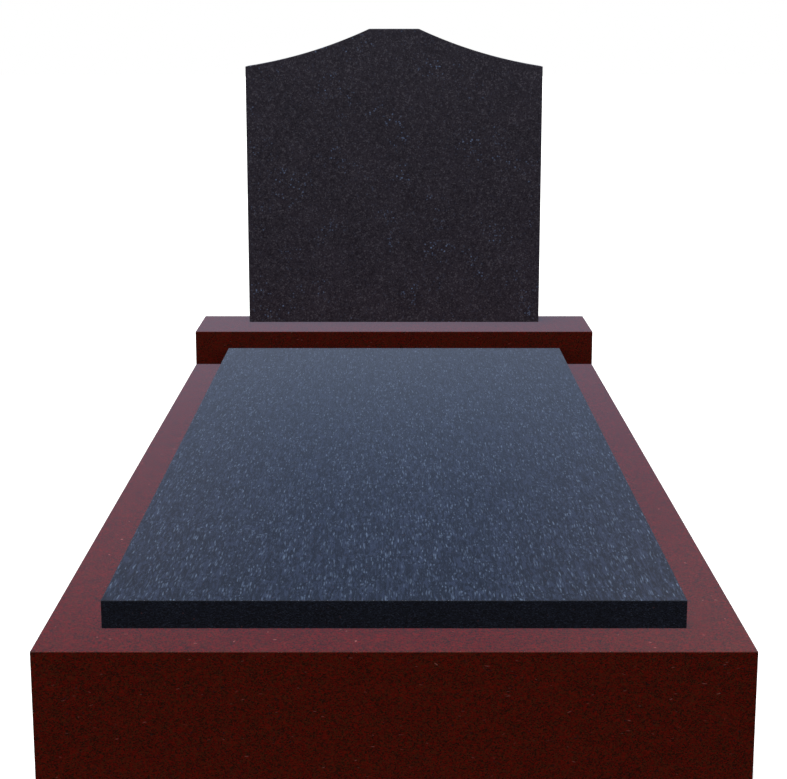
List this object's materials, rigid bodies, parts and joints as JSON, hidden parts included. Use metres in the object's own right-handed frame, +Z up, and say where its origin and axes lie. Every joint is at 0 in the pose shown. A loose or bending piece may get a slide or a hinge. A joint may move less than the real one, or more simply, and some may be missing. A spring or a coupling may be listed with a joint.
{
  "type": "headstone with base, ledger and kerb surround",
  "caption": "Full-length grave memorial: upright tablet with a flat crown and hollow scoops on a low base, flat ledger slab in front, all on a kerb open to the ground.",
  "frame": {"origin": "at ground level, in the middle of the kerb's rectangle", "axes": "+X across the grave, -Y towards the foot, which is the side the headstone's face looks to, +Z up"},
  "size_m": [0.914, 2.11, 0.961],
  "materials": {
    "red_granite": "polished, sawn on hidden faces",
    "charcoal_granite": "polished",
    "blue_granite": "polished, sawn on the underside"
  },
  "bodies": {
    "root": {"kerb_surround": "red_granite", "base": "red_granite", "headstone": "charcoal_granite", "ledger": "blue_granite"}
  },
  "joints": []
}
